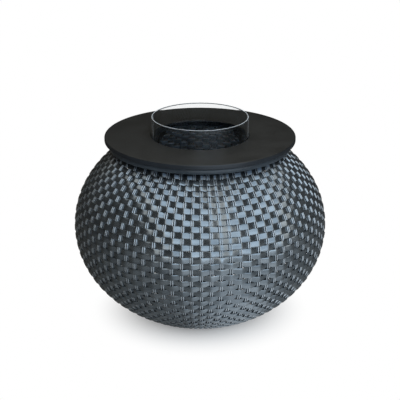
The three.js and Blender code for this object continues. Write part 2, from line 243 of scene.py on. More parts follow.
def revolve(name, outline, segments=256, centre=(0.0, 0.0), warp=None):
    """An outline of (radius, height) points, closed or from axis to axis, turned about an upright
    axis. warp changes the points in place before they move to centre."""
    closed = not (outline[0][0] == 0 and outline[-1][0] == 0)
    outline = supported(outline, closed)
    angle = np.arange(segments) / segments * TURN
    radius, height = outline[:, 0], outline[:, 1]
    points = np.stack([np.cos(angle)[:, None] * radius, np.sin(angle)[:, None] * radius,
                       np.broadcast_to(height, (segments, len(outline)))], axis=2).reshape(-1, 3)
    if warp is not None:
        warp(points)
    points = points + np.array([*centre, 0.0])
    signed = np.sum(radius * np.roll(height, -1) - np.roll(radius, -1) * height)
    quads = quad_grid(segments, len(outline), True, closed)
    if signed < 0:
        quads = quads[:, ::-1]
    made = build_mesh(name, points, quads)
    if not closed:
        shape = bmesh.new()
        shape.from_mesh(made.data)
        bmesh.ops.remove_doubles(shape, verts=shape.verts, dist=MERGE_DISTANCE)
        shape.to_mesh(made.data)
        shape.free()
    return made


def arc(centre_radius, centre_height, radius, start, end, steps=6):
    """Points of a rounded corner from one angle to another, in quarter turns."""
    angle = np.linspace(start, end, steps + 1) * math.pi / 2
    return [(centre_radius + radius * math.cos(a), centre_height + radius * math.sin(a)) for a in angle]


def corner(radius, height, rounding, quarter, steps=6):
    """A rounded corner of an outline: quarter 0 is an outer top, 1 an inner top, 2 an inner bottom
    and 3 an outer bottom."""
    radius += -rounding if quarter in (0, 3) else rounding
    height += -rounding if quarter in (0, 1) else rounding
    return arc(radius, height, rounding, quarter, quarter + 1, steps)


# The globe's outer surface by arc length up from its lower edge, with the hollow of its neck
PROFILE_STEP = 0.0005
PROFILE_SAMPLES = 4000
NECK_SAMPLES = 400
LATITUDE_SAMPLES = 20000
NECK_RADIUS = 0.036
SAME_LENGTH = PROFILE_STEP / 100


def globe_points(latitude, depth=0.0):
    """Radius and height of the globe's outside, moved inwards, and its normal's radius and height."""
    radius, height = GLOBE_RADIUS * np.cos(latitude), GLOBE_HALF_HEIGHT * np.sin(latitude)
    normal = np.stack([np.cos(latitude) / GLOBE_RADIUS, np.sin(latitude) / GLOBE_HALF_HEIGHT])
    normal = normal / np.linalg.norm(normal, axis=0)
    return radius - normal[0] * depth, GLOBE_CENTRE + height - normal[1] * depth, normal


def latitude_at(radius, depth=0.0):
    """The latitude above the belly where the globe, moved inwards, has a radius."""
    latitude = np.linspace(0, math.pi / 2, LATITUDE_SAMPLES)
    return float(np.interp(-radius, -globe_points(latitude, depth)[0], latitude))


def skin_profile():
    """Arc length, radius, height and direction up the globe's outside, and the belly's arc length."""
    low = -math.acos(BASE_RADIUS / GLOBE_RADIUS)
    high = latitude_at(CUFF_RADIUS + NECK_RADIUS, -NECK_RADIUS)
    latitude = np.linspace(low, high, PROFILE_SAMPLES)
    radius, height, normal = globe_points(latitude)
    turn = np.linspace(math.atan2(normal[1, -1], normal[0, -1]), 0, NECK_SAMPLES)[1:]
    neck_top = height[-1] + normal[1, -1] * NECK_RADIUS
    radius = np.concatenate([radius, CUFF_RADIUS + NECK_RADIUS * (1 - np.cos(turn)), [CUFF_RADIUS]])
    height = np.concatenate([height, neck_top - NECK_RADIUS * np.sin(turn), [CUFF_TOP]])
    length = np.concatenate([[0], np.cumsum(np.hypot(np.diff(radius), np.diff(height)))])
    belly = float(np.interp(0.0, latitude, length[:len(latitude)]))
    even = np.append(np.arange(0, length[-1], PROFILE_STEP), length[-1])
    radius, height = np.interp(even, length, radius), np.interp(even, length, height)
    tangent = np.stack([np.gradient(radius, even), np.gradient(height, even)], axis=1)
    tangent /= np.linalg.norm(tangent, axis=1)[:, None]
    return even, radius, height, tangent, belly


profile_length, profile_radius, profile_height, profile_tangent, BELLY_LENGTH = skin_profile()
SKIN_LENGTH = profile_length[-1]


def on_skin(length, azimuth, depth):
    """Points under the globe's surface, with the directions up along it and out of it."""
    radius, height, spread, rise = (np.interp(length, profile_length, values)
                                    for values in (profile_radius, profile_height, *profile_tangent.T))
    size = np.hypot(rise, spread)
    rise, spread = rise / size, spread / size
    sine, cosine = np.sin(azimuth), -np.cos(azimuth)
    up = np.stack([spread * sine, spread * cosine, rise], axis=-1)
    out = np.stack([rise * sine, rise * cosine, -spread], axis=-1)
    surface = np.stack([radius * sine, radius * cosine, height], axis=-1)
    return surface - out * np.asarray(depth)[..., None], up, out


def radius_at(length):
    return np.interp(length, profile_length, profile_radius)


random = np.random.default_rng(SEED)
stake_jitter = random.normal(0, STAKE_JITTER_SHARE, STAKE_PAIRS)


def stake_azimuth(index):
    """The azimuth of a stake pair, with the small unevenness of handwork."""
    wrapped = np.asarray(index) % STAKE_PAIRS
    return (np.asarray(index) + STAKE_PHASE_SHARE + stake_jitter[wrapped]) / STAKE_PAIRS * TURN


def row_edges():
    """Arc lengths of the edges between the weavers' rows, from the cuff down."""
    edges = [BELLY_LENGTH + ROW_EDGE]
    pitch = ROW_PITCH
    while edges[-1] - pitch > BORDER_RADIUS * 2:
        edges.append(edges[-1] - pitch)
        pitch += ROW_PITCH_GROWTH
    return np.array(edges)


edges = row_edges()
ROWS = len(edges) - 1
row_centres = (edges[:-1] + edges[1:]) / 2

# Shares of a flat strip's half width and half thickness round its section
STRIP_SECTION = np.array([(1, 0), (0.94, 0.78), (0.55, 1), (-0.55, 1), (-0.94, 0.78),
                          (-1, 0), (-0.94, -0.78), (-0.55, -1), (0.55, -1), (0.94, -0.78)], float)


def round_section(sides):
    angle = np.arange(sides) / sides * TURN
    return np.stack([np.cos(angle), np.sin(angle)], axis=1)


def spacing_at(length):
    """The distance between the two stakes of a pair."""
    pitch = TURN * radius_at(length) / STAKE_PAIRS
    return np.minimum(STAKE_SPACING, STAKE_SPACING_SHARE * pitch)


# How far a weaver narrows where it tucks under a pair near the base, or spreads elsewhere
TAPER_LOW_SHARE = 0.42
TAPER_HIGH_SHARE = -0.10
TAPER_LOW_START_SHARE = 0.30
TAPER_HIGH_START_SHARE = 0.60
TAPER_FULL_RADIUS = 0.170
TAPER_NONE_RADIUS = 0.285
# A weaver whose depth share is above this takes a paler, less metallic copy of the resin on its inner
# faces: painted light inside the globe, standing in for the light that the bucket's glass keeps out
PAINTED_LIGHT_INSIDE_SHARE = 0.4


def weaver_run(pitch, tuck):
    """Places along one pitch from a ridge to a tuck, with the weaver's depth share at each."""
    slope_end = pitch - tuck
    places = np.array([0, RIDGE_HALF / 2, RIDGE_HALF, RIDGE_HALF + (slope_end - RIDGE_HALF) / 3,
                       RIDGE_HALF + (slope_end - RIDGE_HALF) * 2 / 3, slope_end, pitch - tuck / 2, pitch])
    slope = 1 / (pitch - RIDGE_HALF / 2 - tuck / 2)
    ridge = slope * places ** 2 / (2 * RIDGE_HALF)
    straight = slope * (places - RIDGE_HALF / 2)
    tucked = 1 - slope * (pitch - places) ** 2 / (2 * tuck)
    share = np.where(places < RIDGE_HALF, ridge, np.where(places > slope_end, tucked, straight))
    return places / pitch, share


def weavers():
    """Flat strips, one to a row, that pass over one pair of stakes and tuck under the next."""
    sweeps = Sweeps()
    stakes = np.arange(STAKE_PAIRS)
    for row in range(ROWS):
        centre = row_centres[row]
        radius = float(radius_at(centre))
        pitch = TURN * radius / STAKE_PAIRS
        tuck = float(spacing_at(centre)) / 2 + STAKE_RADIUS + TUCK_MARGIN
        places, shares = weaver_run(pitch, tuck)
        over = (stakes + row) % 2 == 0
        wave = random.normal(0, ROW_WAVE, STAKE_PAIRS)
        tilt = random.normal(0, WEAVER_TILT, STAKE_PAIRS)
        lift = random.uniform(0, LIFT_JITTER, STAKE_PAIRS)
        start, finish = stake_azimuth(stakes), stake_azimuth(stakes + 1)
        finish = np.where(finish < start, finish + TURN, finish)
        place = np.where(over[:, None], places[:-1], 1 - places[:0:-1])
        share = np.where(over[:, None], shares[:-1], shares[:0:-1])
        azimuth = (start[:, None] + place * (finish - start)[:, None]).ravel()

        def eased(values):
            return (values[:, None] * (1 - place) + np.roll(values, -1)[:, None] * place).ravel()

        share = share.ravel()
        depth = WEAVER_OVER_DEPTH + (WEAVER_UNDER_DEPTH - WEAVER_OVER_DEPTH) * share + eased(lift)
        points, up, out = on_skin(centre + eased(wave), azimuth, depth)
        turn = eased(tilt)[:, None]
        across = up * np.cos(turn) + out * np.sin(turn)
        facing = out * np.cos(turn) - up * np.sin(turn)
        low = np.clip((TAPER_NONE_RADIUS - radius) / (TAPER_NONE_RADIUS - TAPER_FULL_RADIUS), 0, 1)
        low = low if centre < BELLY_LENGTH else 0.0
        taper = TAPER_HIGH_SHARE + (TAPER_LOW_SHARE - TAPER_HIGH_SHARE) * low
        start_share = TAPER_HIGH_START_SHARE + (TAPER_LOW_START_SHARE - TAPER_HIGH_START_SHARE) * low
        tucked = np.clip((share - start_share) / (1 - start_share), 0, 1)
        room = edges[row] - edges[row + 1] - ROW_GAP
        half_width = min(WEAVER_WIDTH, room) / 2 * (1 - taper * tucked)
        inside = share > PAINTED_LIGHT_INSIDE_SHARE
        inner_faces = (STRIP_SECTION + np.roll(STRIP_SECTION, -1, axis=0))[:, 1] < 0
        sweeps.add(points, across, facing, half_width, WEAVER_THICKNESS / 2, STRIP_SECTION, True,
                   lane=row * WEAVER_WIDTH * LANE_WIDTHS, second=inside[:, None] & inner_faces)
    return sweeps.build("weavers")


def stakes():
    """Pairs of round strands up the globe, pushed in and out a little by the weavers."""
    sweeps = Sweeps()
    low, high = BORDER_RADIUS, SKIN_LENGTH - BORDER_RADIUS
    length = np.unique(np.concatenate([[low], np.clip(edges, low, high), row_centres, [high]]))
    away = np.abs(row_centres - length[:, None])
    nearest, at_centre = away.argmin(axis=1), away.min(axis=1) < SAME_LENGTH
    section = round_section(STRAND_SIDES)
    for pair in range(STAKE_PAIRS):
        over = (pair + nearest) % 2 == 0
        sway = np.where(at_centre, np.where(over, STAKE_SWAY, -STAKE_SWAY), 0.0)
        for side in (-1, 1):
            shift = side * spacing_at(length) / 2 / radius_at(length)
            azimuth = stake_azimuth(pair) + shift + random.normal(0, STAKE_TURN_JITTER)
            points, up, out = on_skin(length, azimuth, STAKE_DEPTH + sway)
            beside = np.cross(up, out)
            sweeps.add(points, beside, out, STAKE_RADIUS, STAKE_RADIUS, section, False,
                       lane=(pair * 2 + side) * STAKE_SPACING)
    return sweeps.build("stakes")


def build_weave():
    for piece, material in ((weavers(), WICKER), (stakes(), STRAND), (borders(), STRAND)):
        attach(piece, "basket")
        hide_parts("woven_skin")
        piece.data.materials.append(material)
        if material == WICKER:
            piece.data.materials.append(PAINTED_LIGHT_INSIDE)


# Materials: each has its colour, roughness and fine relief from procedural textures


class Graph:
    """Short calls that add nodes to a material or a world."""

    def __init__(self, owner):
        owner.use_nodes = True
        self.nodes = owner.node_tree.nodes
        self.links = owner.node_tree.links

    def node(self, kind, inputs=None, **settings):
        made = self.nodes.new(kind)
        for key, value in settings.items():
            setattr(made, key, value)
        for socket, value in (inputs or {}).items():
            self.feed(made.inputs[socket], value)
        return made

    def feed(self, socket, value):
        if isinstance(value, bpy.types.NodeSocket):
            self.links.new(value, socket)
        else:
            socket.default_value = value

    def maths(self, operation, *values):
        return self.node("ShaderNodeMath", dict(enumerate(values)), operation=operation).outputs[0]

    def shader(self, kind, **inputs):
        return self.node(kind, inputs).outputs[0]

    def mixed(self, factor, first, second):
        """The first shader, or the second as factor goes to 1."""
        mix = self.node("ShaderNodeMixShader")
        for socket, value in zip(mix.inputs, (factor, first, second)):
            self.feed(socket, value)
        return mix.outputs[0]

    def passed_through(self, path):
        """1 for a ray that came through clear material and that nothing has reflected."""
        depth = self.maths("ADD", path["Glossy Depth"], path["Diffuse Depth"])
        return self.maths("MULTIPLY", path["Is Transmission Ray"], self.maths("LESS_THAN", depth, 0.5))


class Finish(Graph):
    """A material with a Principled shader, and short calls for the textures that feed it."""

    def __init__(self, name, **sockets):
        self.material = bpy.data.materials.new(name)
        super().__init__(self.material)
        self.surface = self.nodes["Principled BSDF"]
        self.finish(**sockets)

    def place(self, stretch=(1, 1, 1), source="Object"):
        """Texture coordinates, stretched."""
        if source == "strand":
            coordinates = self.node("ShaderNodeUVMap", uv_map="strand").outputs["UV"]
        else:
            coordinates = self.node("ShaderNodeTexCoord").outputs[source]
        return self.node("ShaderNodeMapping", {"Vector": coordinates, "Scale": stretch}).outputs["Vector"]

    def noise(self, vector, scale=1.0, detail=2.0):
        return self.node("ShaderNodeTexNoise", {"Vector": vector, "Scale": scale,
                                                "Detail": detail}).outputs["Fac"]

    def span(self, factor, low, high, start=0.3, end=0.7, **settings):
        """A value that goes from low to high as factor goes from start to end."""
        return self.node("ShaderNodeMapRange", {"Value": factor, "From Min": start, "From Max": end,
                                                "To Min": low, "To Max": high},
                         **settings).outputs["Result"]

    def blend(self, factor, first, second):
        made = self.node("ShaderNodeMix", data_type="RGBA")
        for socket, value in ((made.inputs[0], factor), (made.inputs[6], first), (made.inputs[7], second)):
            self.feed(socket, value)
        return made.outputs[2]

    def bump(self, height, strength, distance):
        inputs = {"Height": height, "Strength": strength, "Distance": distance}
        return self.node("ShaderNodeBump", inputs).outputs["Normal"]

    def finish(self, **sockets):
        for socket, value in sockets.items():
            self.feed(self.surface.inputs[socket.replace("_", " ")], value)
        return self.material


def colour(red, green, blue):
    return (red, green, blue, 1.0)


WHITE = colour(1, 1, 1)

# Painted shade: above these heights the resin's colour turns to this dark blue, standing in for the tray's
# shadow where the tray shades it
PAINTED_TRAY_SHADE = colour(0.020, 0.030, 0.045)
PAINTED_TRAY_SHADE_SHARE = 0.9
PAINTED_TRAY_SHADE_LOW = 0.398
PAINTED_TRAY_SHADE_HIGH = 0.411
RESIN_GROOVE = colour(0.07, 0.08, 0.09)
ROUGHNESS_SPREAD = 0.05
LIGHTER = 1.35

# Painted highlight: seen nearly edge on, the bucket's wall passes less light and shows its pale base
# colour as light outlines
EDGE_ON_START = 0.80
EDGE_ON_END = 0.98
EDGE_ON_TRANSMISSION = 0.45


def resin(name, dark, light, roughness, metallic=0.9):
    """Extruded satin resin, with fine lines along each strand and a little tone between strands."""
    made = Finish(name, Metallic=metallic, IOR=1.5)
    height = made.node("ShaderNodeSeparateXYZ", {0: made.place()}).outputs[2]
    # Painted shade: the colour turns dark blue near the band, standing in for the tray's shadow
    painted_shade = made.span(height, 0, PAINTED_TRAY_SHADE_SHARE, PAINTED_TRAY_SHADE_LOW, PAINTED_TRAY_SHADE_HIGH)
    lines = made.noise(made.place((30, 2600, 1), "strand"), detail=3)
    tone = made.noise(made.place((14, 60, 1), "strand"), detail=1)
    base = made.blend(made.span(tone, 0, 1), dark, light)
    grooved = made.blend(made.span(lines, 0, 0.25), base, RESIN_GROOVE)
    return made.finish(Base_Color=made.blend(painted_shade, grooved, PAINTED_TRAY_SHADE),
                       Roughness=made.span(lines, roughness - ROUGHNESS_SPREAD,
                                           roughness + ROUGHNESS_SPREAD),
                       Normal=made.bump(lines, strength=0.12, distance=0.00006))


def powder_coat(name, base, roughness=0.5, grain=3500.0):
    """Powder-coated metal with its fine orange-peel grain."""
    made = Finish(name, Specular_IOR_Level=0.5)
    coordinates = made.place()
    peel = made.noise(coordinates, scale=grain)
    cloud = made.noise(coordinates, scale=18, detail=3)
    lighter = tuple(min(1.0, c * LIGHTER) for c in base[:3]) + (1.0,)
    return made.finish(Base_Color=made.blend(made.span(cloud, 0, 1), base, lighter),
                       Roughness=made.span(cloud, roughness - 0.06, roughness + 0.06),
                       Normal=made.bump(peel, strength=0.2, distance=0.00005))


def clear_acrylic():
    made = Finish("clear_acrylic", IOR=1.49, Base_Color=colour(0.97, 0.985, 0.99))
    haze = made.noise(made.place(), scale=40, detail=3)
    facing = made.node("ShaderNodeLayerWeight", {"Blend": 0.5}).outputs["Facing"]
    # Painted highlight: edge on, the wall turns partly to its pale base colour
    clear = made.span(facing, 1.0, EDGE_ON_TRANSMISSION, EDGE_ON_START, EDGE_ON_END)
    return made.finish(Transmission_Weight=clear, Roughness=made.span(haze, 0.0, 0.03),
                       Normal=made.bump(haze, strength=0.02, distance=0.0002))


def acrylic_edge():
    """The flame-polished rim, made nearly white so that it scatters light: a painted highlight standing in
    for the light that the clear wall carries to it.
    """
    made = Finish("acrylic_edge", Transmission_Weight=0.05, IOR=1.49)
    ripple = made.noise(made.place(), scale=60)
    return made.finish(Base_Color=made.blend(made.span(ripple, 0, 1), colour(0.92, 0.93, 0.93),
                                             colour(0.97, 0.97, 0.97)),
                       Roughness=made.span(ripple, 0.15, 0.3),
                       Normal=made.bump(ripple, strength=0.05, distance=0.0003))


def rubber_material():
    made = Finish("rubber", Specular_IOR_Level=0.3, Roughness=0.8)
    grain = made.noise(made.place(), scale=1800)
    return made.finish(Base_Color=made.blend(made.span(grain, 0, 1), colour(0.008, 0.008, 0.008),
                                             colour(0.018, 0.018, 0.018)),
                       Normal=made.bump(grain, strength=0.3, distance=0.0001))


def zinc_material():
    made = Finish("zinc", Metallic=1.0)
    turned = made.noise(made.place((400, 400, 40)), scale=4, detail=3)
    return made.finish(Base_Color=made.blend(made.span(turned, 0, 1), colour(0.42, 0.43, 0.45),
                                             colour(0.58, 0.59, 0.6)),
                       Roughness=made.span(turned, 0.25, 0.42),
                       Normal=made.bump(turned, strength=0.1, distance=0.00003))


WICKER = resin("wicker_strip", dark=colour(0.216, 0.245, 0.266), light=colour(0.375, 0.408, 0.427),
               roughness=0.19)
# Painted light: the paler, less metallic copy of the resin for the weavers' inner faces
PAINTED_LIGHT_INSIDE = resin("wicker_inside", dark=colour(0.50, 0.59, 0.70), light=colour(0.64, 0.73, 0.84),
               roughness=0.36, metallic=0.45)
STRAND = resin("wicker_strand", dark=colour(0.67, 0.71, 0.74), light=colour(0.80, 0.84, 0.87),
               roughness=0.26)
# Painted shade: a darker, bluer copy of the tray's black, for the tray's side
TRAY_SIDE_PAINTED_SHADE = powder_coat("tray_side", colour(0.014, 0.017, 0.021), roughness=0.34, grain=5000.0)
ACRYLIC_RIM_PAINTED_HIGHLIGHT = acrylic_edge()
SLOT_MATERIALS = {
    "frame": powder_coat("frame_coat", colour(0.018, 0.020, 0.023), roughness=0.45),
    "tray": powder_coat("tray_black", colour(0.020, 0.020, 0.019), roughness=0.38, grain=5000.0),
    "band": powder_coat("band_satin", colour(0.040, 0.049, 0.058), roughness=0.32, grain=5000.0),
    "glide": powder_coat("glide_plastic", colour(0.015, 0.015, 0.016), grain=2500.0),
    "acrylic": clear_acrylic(),
    "rubber": rubber_material(),
    "steel": zinc_material(),
}


def dress(piece, node):
    """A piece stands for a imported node, moves with its body and takes its slot's material."""
    row = next(r for r in frame["record"]["subparts"] if r["node"] == node)
    name = row["material_slot"]
    piece.data.materials.append(SLOT_MATERIALS[name])
    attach(piece, frame["nodes"][node]["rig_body"])
    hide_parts(node)
    return piece


# Tray
TRAY_ROUNDING = 0.0025
COLLAR_ROUNDING = 0.0012
# A face whose normal rises less than this belongs to the tray's side
SIDE_SLOPE = 0.6


def tray_plate():
    bottom, top, inner, outer = levels("tray_top")
    outline = [*corner(outer, bottom, TRAY_ROUNDING, 3), *corner(outer, top, TRAY_ROUNDING, 0),
               *corner(inner, top, TRAY_ROUNDING, 1), (inner, bottom)]
    made = dress(revolve("tray_plate", outline), "tray_top")
    # The tray's side takes the painted shade copy of the tray's black
    made.data.materials.append(TRAY_SIDE_PAINTED_SHADE)
    for face in made.data.polygons:
        face.material_index = int(abs(face.normal.z) < SIDE_SLOPE)


def tube_ring(name, node, sides=24):
    """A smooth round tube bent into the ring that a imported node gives."""
    low, high, inner, outer = levels(node)
    radius = (high - low) / 2
    outline = round_section(sides) * radius + ((outer + inner) / 2, low + radius)
    return dress(revolve(name, outline), node)


def collar():
    bottom, top, inner, outer = levels("hole_collar")
    outline = [(inner, top), *corner(inner, bottom, COLLAR_ROUNDING, 2),
               *corner(outer, bottom, COLLAR_ROUNDING, 3), (outer, top)]
    return dress(revolve("collar_band", outline), "hole_collar")


# Bucket
BUCKET_WALL = 0.003
BUCKET_FLOOR = 0.006
BUCKET_CORNER = 0.004
# The share of the rim's rounding, from its top down, that takes the white painted highlight in place of
# the light in the wall
RIM_HIGHLIGHT_SHARE = 0.25


def clear_bucket():
    bottom, top, _, outer = levels("bucket")
    inner = outer - BUCKET_WALL
    rim = BUCKET_WALL / 2
    floor = bottom + BUCKET_FLOOR
    outline = [(0.0, bottom), *corner(outer, bottom, BUCKET_CORNER, 3),
               *arc(outer - rim, top - rim, rim, 0, 2, steps=12),
               *reversed(corner(inner, floor, BUCKET_CORNER, 3)), (0.0, floor)]
    made = dress(revolve("clear_bucket", outline), "bucket")
    made.data.materials.append(ACRYLIC_RIM_PAINTED_HIGHLIGHT)
    for face in made.data.polygons:
        face.material_index = int(face.center.z > top - rim * RIM_HIGHLIGHT_SHARE)


# Frame tubes, shelf and small parts
RIB_RADIUS = 0.006
RIB_BEND = 0.018
RIB_BEND_RISE = 0.004
SHEET_BEND = 0.004
WELD_RADIUS = 0.0011
WELD_SIDES = 8
SEAM_POINTS = 48
# The share of the neck's whole turn at which a rib's bend begins
RIB_BEND_SHARE = 0.86
RIB_POINTS = 40
BEND_POINTS = 4
PATH_STEPS = 4
UP = np.array([0.0, 0.0, 1.0])


def tube_of(node):
    """The radius and height of a packed ring of round tube, and the tube's own radius."""
    low, high, _, outer = levels(node)
    tube = (high - low) / 2
    return outer - tube, high - tube, tube


HOOP_RADIUS, HOOP_HEIGHT, HOOP_TUBE = tube_of("top_hoop")
RING_RADIUS, RING_HEIGHT, RING_TUBE = tube_of("base_ring")
RIB_DEPTH = GLOBE_RADIUS - widest(node_points("rib_1")) + RIB_RADIUS


def directions(node):
    """The level directions outwards and sideways at a node's azimuth."""
    low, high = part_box(node)
    azimuth = math.atan2(low.x + high.x, -(low.y + high.y))
    sine, cosine = math.sin(azimuth), math.cos(azimuth)
    return np.array([sine, -cosine, 0.0]), np.array([cosine, sine, 0.0])


def nodes_named(start):
    return sorted(name for name in frame["nodes"] if name.startswith(start))


def smooth_path(points, steps):
    """A Catmull-Rom curve through points."""
    points = np.asarray(points, float)
    padded = np.concatenate([[2 * points[0] - points[1]], points, [2 * points[-1] - points[-2]]])
    share = (np.arange(steps) / steps)[:, None]
    pieces = []
    for before, start, end, after in zip(padded, padded[1:], padded[2:], padded[3:]):
        pieces.append(start + 0.5 * share * (end - before + share * (
            2 * before - 5 * start + 4 * end - after + share * (3 * start - before - 3 * end + after))))
    return np.concatenate([*pieces, points[-1:]])


def sweep_tube(name, centres, radius, side, sides=20, closed=False):
    """A round tube along a path of points, with its section square to the path."""
    centres = np.asarray(centres, float)
    along = np.roll(centres, -1, axis=0) - np.roll(centres, 1, axis=0)
    if not closed:
        along[0], along[-1] = centres[1] - centres[0], centres[-1] - centres[-2]
    along /= np.linalg.norm(along, axis=1)[:, None]
    across = np.cross(np.broadcast_to(side, centres.shape), along)
    across /= np.linalg.norm(across, axis=1)[:, None]
    sweeps = Sweeps()
    sweeps.add(centres, across, np.cross(along, across), radius, radius, round_section(sides), closed)
    return sweeps.build(name)


def rib_outline():
    """A rib's middle line as (radius, height), from inside the base ring to inside the top hoop."""
    lowest = -latitude_at(RING_RADIUS, RIB_DEPTH)
    highest = latitude_at(HOOP_RADIUS + RIB_RADIUS * 2, RIB_DEPTH)
    radius, height, _ = globe_points(np.linspace(lowest, highest, RIB_POINTS), RIB_DEPTH)
    neck_normal = globe_points(latitude_at(CUFF_RADIUS))[2]
    hoop_depth = CUFF_RADIUS - HOOP_RADIUS - HOOP_TUBE
    inside = latitude_at(HOOP_RADIUS + HOOP_TUBE, hoop_depth)
    bend_height = globe_points(inside, hoop_depth)[1] + RIB_BEND_RISE
    turn = np.linspace(math.atan2(neck_normal[1], neck_normal[0]) * RIB_BEND_SHARE, 0, BEND_POINTS)
    bend = np.stack([HOOP_RADIUS + RIB_BEND * (1 - np.cos(turn)),
                     bend_height - RIB_BEND * np.sin(turn)], axis=1)
    return smooth_path(np.concatenate([np.stack([radius, height], axis=1), bend,
                                       [[HOOP_RADIUS, HOOP_HEIGHT]]]), PATH_STEPS)


def ribs():
    outline = rib_outline()
    for node in nodes_named("rib_"):
        outward, sideways = directions(node)
        centres = outward * outline[:, :1] + UP * outline[:, 1:]
        dress(sweep_tube(node + "_tube", centres, RIB_RADIUS, sideways), node)
        # The weld where the rib meets the hoop's round underside
        reach, aside = (RIB_RADIUS * round_section(SEAM_POINTS)).T
        drop = np.sqrt(HOOP_TUBE ** 2 - reach ** 2)
        outwards = outward * reach[:, None] + sideways * aside[:, None]
        seam = outward * HOOP_RADIUS + outwards + UP * (HOOP_HEIGHT - drop)[:, None]
        dress(sweep_tube(node + "_weld", seam, WELD_RADIUS, outwards, WELD_SIDES, True), node)


def flat_ring(name, node, rounding):
    """A ring of rectangular section with rounded edges."""
    bottom, top, inner, outer = levels(node)
    outline = [*corner(outer, bottom, rounding, 3), *corner(outer, top, rounding, 0),
               *corner(inner, top, rounding, 1), *corner(inner, bottom, rounding, 2)]
    dress(revolve(name, outline), node)


SHELF_SHEET = 0.002


def shelf_dish():
    """The bucket's shelf: a pressed sheet with a bent-up lip and a drain hole."""
    bottom, top, inner, outer = levels("bucket_shelf")
    half, bend = SHELF_SHEET / 2, SHEET_BEND
    outline = [*corner(outer, bottom, bend, 3), *arc(outer - half, top - half, half, 0, 2, steps=8),
               *reversed(arc(outer - bend, bottom + bend, bend - SHELF_SHEET, 3, 4)),
               *arc(inner + half, bottom + half, half, 1, 3, steps=8)]
    dress(revolve("shelf_dish", outline), "bucket_shelf")


MAT_GROOVES = 5
MAT_GROOVE_DEPTH = 0.0008
MAT_ROUNDING = 0.0006


def ribbed_mat():
    """The rubber ring under the bucket, with round grooves in its top."""
    bottom, top, inner, outer = levels("bucket_mat")
    floor = top - MAT_GROOVE_DEPTH
    step = (outer - inner) / (MAT_GROOVES * 2 + 1)

    def rounded(radius, height, quarter):
        return reversed(corner(radius, height, MAT_ROUNDING, quarter, steps=4))

    outline = [*rounded(inner, bottom, 2), *rounded(inner, top, 1)]
    for groove in range(MAT_GROOVES):
        start = inner + step * (groove * 2 + 1)
        end = start + step
        outline += [*rounded(start, top, 0), (start, floor), (end, floor), *rounded(end, top, 1)]
    outline += [*rounded(outer, top, 0), *rounded(outer, bottom, 3)]
    dress(revolve("ribbed_mat", outline), "bucket_mat")


def rounded_rectangle(width, height, rounding, steps=4):
    """Points round a rectangle with rounded corners."""
    centres = [(1, -1, 3), (1, 1, 0), (-1, 1, 1), (-1, -1, 2)]
    points = []
    for across, up, start in centres:
        angle = (start + np.arange(steps + 1) / steps) * math.pi / 2
        points.append(np.stack([across * (width / 2 - rounding) + rounding * np.cos(angle),
                                up * (height / 2 - rounding) + rounding * np.sin(angle)], axis=1))
    return np.concatenate(points)


ARM_WIDTH = 0.010
ARM_ROUNDING = 0.0012
ARM_STEPS = 12
# The weld on a rib is narrower than the bar, because the rib is round
RIB_WELD_SHARE = 0.9


def shelf_arms():
    """Bars from the shelf's ring to the ribs, with a weld round each end."""
    ring_outer = levels("shelf_ring")[3]
    for node in nodes_named("shelf_arm_"):
        bottom, top, _, _ = levels(node)
        outward, sideways = directions(node)
        middle = (bottom + top) / 2
        latitude = math.asin((middle - GLOBE_CENTRE) / (GLOBE_HALF_HEIGHT - RIB_DEPTH))
        reach = float(globe_points(latitude, RIB_DEPTH)[0])
        radius = np.linspace(ring_outer - ARM_ROUNDING, reach, ARM_STEPS)
        centres = outward * radius[:, None] + UP * middle
        section = rounded_rectangle(ARM_WIDTH, top - bottom, ARM_ROUNDING)
        sweeps = Sweeps()
        sweeps.add(centres, np.broadcast_to(sideways, centres.shape), np.broadcast_to(UP, centres.shape),
                   1.0, 1.0, section, False)
        dress(sweeps.build(node + "_bar"), node)
        for place, share, name in ((ring_outer, 1.0, "_ring_weld"),
                                   (reach - RIB_RADIUS, RIB_WELD_SHARE, "_rib_weld")):
            seam = outward * place + sideways * section[:, :1] * share + UP * (section[:, 1:] + middle)
            dress(sweep_tube(node + name, seam, WELD_RADIUS, outward, WELD_SIDES, True), node)


PAD_CORNER_SHARE = 1 / 5
PAD_EDGE_SHARE = 1 / 4
PAD_STEPS = 3


def tray_pads():
    """Soft pads under the tray, with rounded corners and edges."""
    for node in nodes_named("tray_pad_"):
        points = node_points(node)
        bottom, top, _, _ = levels(node)
        centre = np.array([points[:, 0].mean(), points[:, 1].mean(), 0.0])
        outward, sideways = directions(node)
        length, width = float(np.ptp(points @ sideways)), float(np.ptp(points @ outward))
        rounding = (top - bottom) * PAD_EDGE_SHARE
        rings = []
        for inset, level in [*arc(0.0, bottom + rounding, rounding, 3, 4, PAD_STEPS),
                             *arc(0.0, top - rounding, rounding, 0, 1, PAD_STEPS)]:
            shrink = (rounding - inset) * 2
            plan = rounded_rectangle(width - shrink, length - shrink, width * PAD_CORNER_SHARE)
            rings.append(centre + outward * plan[:, :1] + sideways * plan[:, 1:] + UP * level)
        count = len(rings[0])
        quads = quad_grid(len(rings), count, False)[:, ::-1]
        caps = [np.arange(count)[::-1], np.arange(count) + (len(rings) - 1) * count]
        dress(build_mesh(node + "_block", np.concatenate(rings), quads, caps), node)


SOCKET_MARGIN = 1.001


def hexagon_warp(socket):
    """Moves the points of a round recess to a hexagon inside it."""
    def warp(points):
        radius = np.hypot(points[:, 0], points[:, 1])
        angle = np.arctan2(points[:, 1], points[:, 0])
        flat = math.cos(math.pi / 6) / np.cos(angle % (math.pi / 3) - math.pi / 6)
        inside = radius <= socket * SOCKET_MARGIN
        points[inside, :2] *= flat[inside, None]
    return warp


